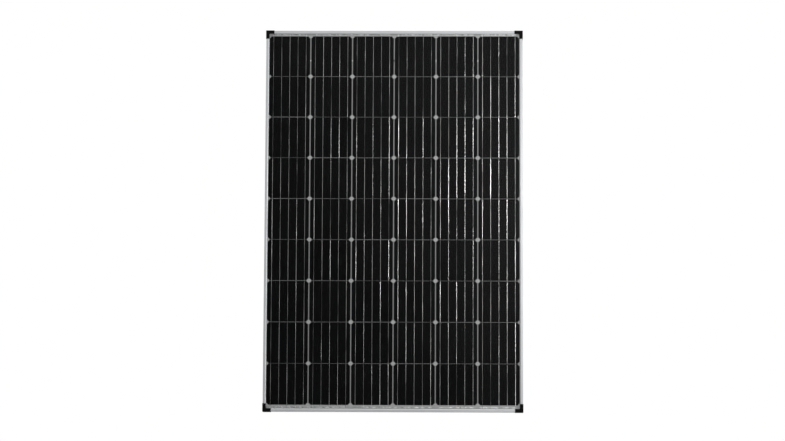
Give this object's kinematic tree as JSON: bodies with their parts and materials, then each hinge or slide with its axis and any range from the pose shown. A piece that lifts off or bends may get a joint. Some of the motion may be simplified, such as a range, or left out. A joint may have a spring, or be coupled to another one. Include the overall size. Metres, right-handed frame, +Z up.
{
  "type": "solar panel",
  "caption": "Framed upright photovoltaic panel with glazed dark cells, black corner guards, a rear junction box with a hinged lid, and hanging output leads.",
  "frame": {"origin": "bottom centre of the panel's bounding box, on the plane that its lower corner guards stand on", "axes": "+X to the right as seen from the glass side, +Y from the glass towards the back, +Z up the panel"},
  "size_m": [0.9904, 0.0362, 1.4704],
  "materials": {
    "glass": "smooth low-iron float glass",
    "encapsulant": "clear laminated film",
    "silicon_cell": "near-black coated silicon with bright tinned ribbons",
    "tinned_ribbon": "solder-tinned copper strip",
    "backsheet": "matt white laminated film",
    "anodised_aluminium": "satin clear anodised extrusion",
    "key_aluminium": "plain sawn extrusion",
    "silicone_sealant": "cured white silicone",
    "guard_plastic": "fine textured moulded plastic",
    "box_plastic": "fine textured moulded plastic",
    "black_rubber": "moulded rubber",
    "pin_steel": "drawn steel",
    "tinned_copper": "tinned copper",
    "diode_epoxy": "moulded epoxy with tinned pins",
    "cable_jacket": "smooth extruded jacket"
  },
  "bodies": {
    "panel": {"frame_rail_left": "anodised_aluminium", "frame_rail_top": "anodised_aluminium", "frame_rail_right": "anodised_aluminium", "frame_rail_bottom": "anodised_aluminium", "corner_key_bottom_left": "key_aluminium", "corner_guard_bottom_left": "guard_plastic", "corner_key_top_left": "key_aluminium", "corner_guard_top_left": "guard_plastic", "corner_key_top_right": "key_aluminium", "corner_guard_top_right": "guard_plastic", "corner_key_bottom_right": "key_aluminium", "corner_guard_bottom_right": "guard_plastic", "front_glass": "glass", "front_encapsulant": "encapsulant", "rear_encapsulant": "encapsulant", "backsheet": "backsheet", "frame_sealant": "silicone_sealant", "cell_string_1": "silicon_cell", "cell_string_2": "silicon_cell", "cell_string_3": "silicon_cell", "cell_string_4": "silicon_cell", "cell_string_5": "silicon_cell", "cell_string_6": "silicon_cell", "upper_bus_ribbon_1": "tinned_ribbon", "upper_bus_ribbon_2": "tinned_ribbon", "upper_bus_ribbon_3": "tinned_ribbon", "upper_bus_ribbon_4": "tinned_ribbon", "lower_bus_ribbon_1": "tinned_ribbon", "lower_bus_ribbon_2": "tinned_ribbon", "lower_bus_ribbon_3": "tinned_ribbon", "junction_box_pad": "silicone_sealant", "junction_box_base": "box_plastic", "junction_box_gasket": "black_rubber", "lid_hinge_pin": "pin_steel", "terminal_1": "tinned_copper", "terminal_2": "tinned_copper", "terminal_3": "tinned_copper", "terminal_4": "tinned_copper", "bypass_diode_1": "diode_epoxy", "bypass_diode_2": "diode_epoxy", "bypass_diode_3": "diode_epoxy", "positive_gland_nut": "box_plastic", "positive_gland_seal": "black_rubber", "positive_lead_root": "cable_jacket", "negative_gland_nut": "box_plastic", "negative_gland_seal": "black_rubber", "negative_lead_root": "cable_jacket"},
    "lid": {"junction_box_lid": "box_plastic"},
    "positive_bend": {"positive_lead_bend": "cable_jacket"},
    "positive_lead": {"positive_lead_cable": "cable_jacket", "positive_connector_nut": "box_plastic", "positive_connector_body": "box_plastic", "positive_contact": "tinned_copper"},
    "negative_bend": {"negative_lead_bend": "cable_jacket"},
    "negative_lead": {"negative_lead_cable": "cable_jacket", "negative_connector_nut": "box_plastic", "negative_connector_body": "box_plastic", "negative_contact": "tinned_copper"}
  },
  "joints": [
    {"name": "lid_hinge", "type": "hinge", "parent": "panel", "child": "lid", "pos_m": [0, 0.0096, 1.3753], "axis": [1, 0, 0], "range_deg": [0, 110]},
    {"name": "positive_lead_swing", "type": "hinge", "parent": "panel", "child": "positive_bend", "pos_m": [-0.045, 0.0006, 1.2242], "axis": [0, 1, 0], "range_deg": [-2, 25]},
    {"name": "positive_lead_lift", "type": "hinge", "parent": "positive_bend", "child": "positive_lead", "pos_m": [-0.045, 0.0006, 1.1842], "axis": [1, 0, 0], "range_deg": [0, 75]},
    {"name": "negative_lead_swing", "type": "hinge", "parent": "panel", "child": "negative_bend", "pos_m": [0.045, 0.0006, 1.2242], "axis": [0, -1, 0], "range_deg": [-2, 25]},
    {"name": "negative_lead_lift", "type": "hinge", "parent": "negative_bend", "child": "negative_lead", "pos_m": [0.045, 0.0006, 1.1842], "axis": [1, 0, 0], "range_deg": [0, 75]}
  ]
}
